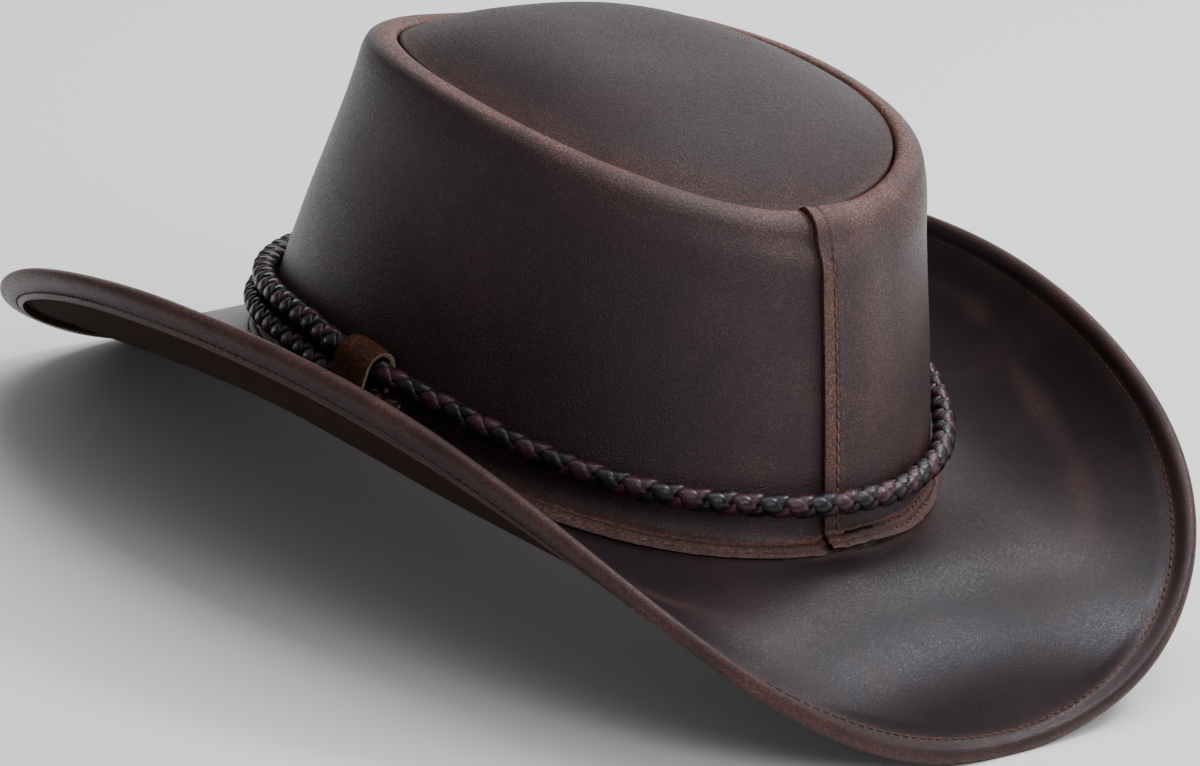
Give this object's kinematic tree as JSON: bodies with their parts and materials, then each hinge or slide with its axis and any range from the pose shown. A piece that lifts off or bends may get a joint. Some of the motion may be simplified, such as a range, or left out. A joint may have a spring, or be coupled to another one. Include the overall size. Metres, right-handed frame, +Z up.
{
  "type": "bush hat",
  "caption": "Leather bush hat with a wrapped crown side, a domed crown tip in a rolled rim, a wide brim rolled up at the sides, and a braided band held by keepers.",
  "frame": {"origin": "middle of the hat's box, on the surface that the front and the back of the brim stand on", "axes": "+Z up, the wearer's face towards -Y, the wearer's left towards +X"},
  "size_m": [0.2878, 0.3646, 0.1488],
  "materials": {
    "side_leather": "oiled dark brown, brown where it is stressed",
    "tip_leather": "oiled dark brown with a grey sheen",
    "brim_leather": "oiled dark brown, brown at the edge and on folds",
    "lace": "black and burgundy lace, satin",
    "rough_leather": "rough brown"
  },
  "bodies": {
    "root": {"crown_side": "side_leather", "crown_tip": "tip_leather", "brim": "brim_leather", "band": "lace", "keeper_left": "rough_leather", "keeper_right": "rough_leather"}
  },
  "joints": []
}
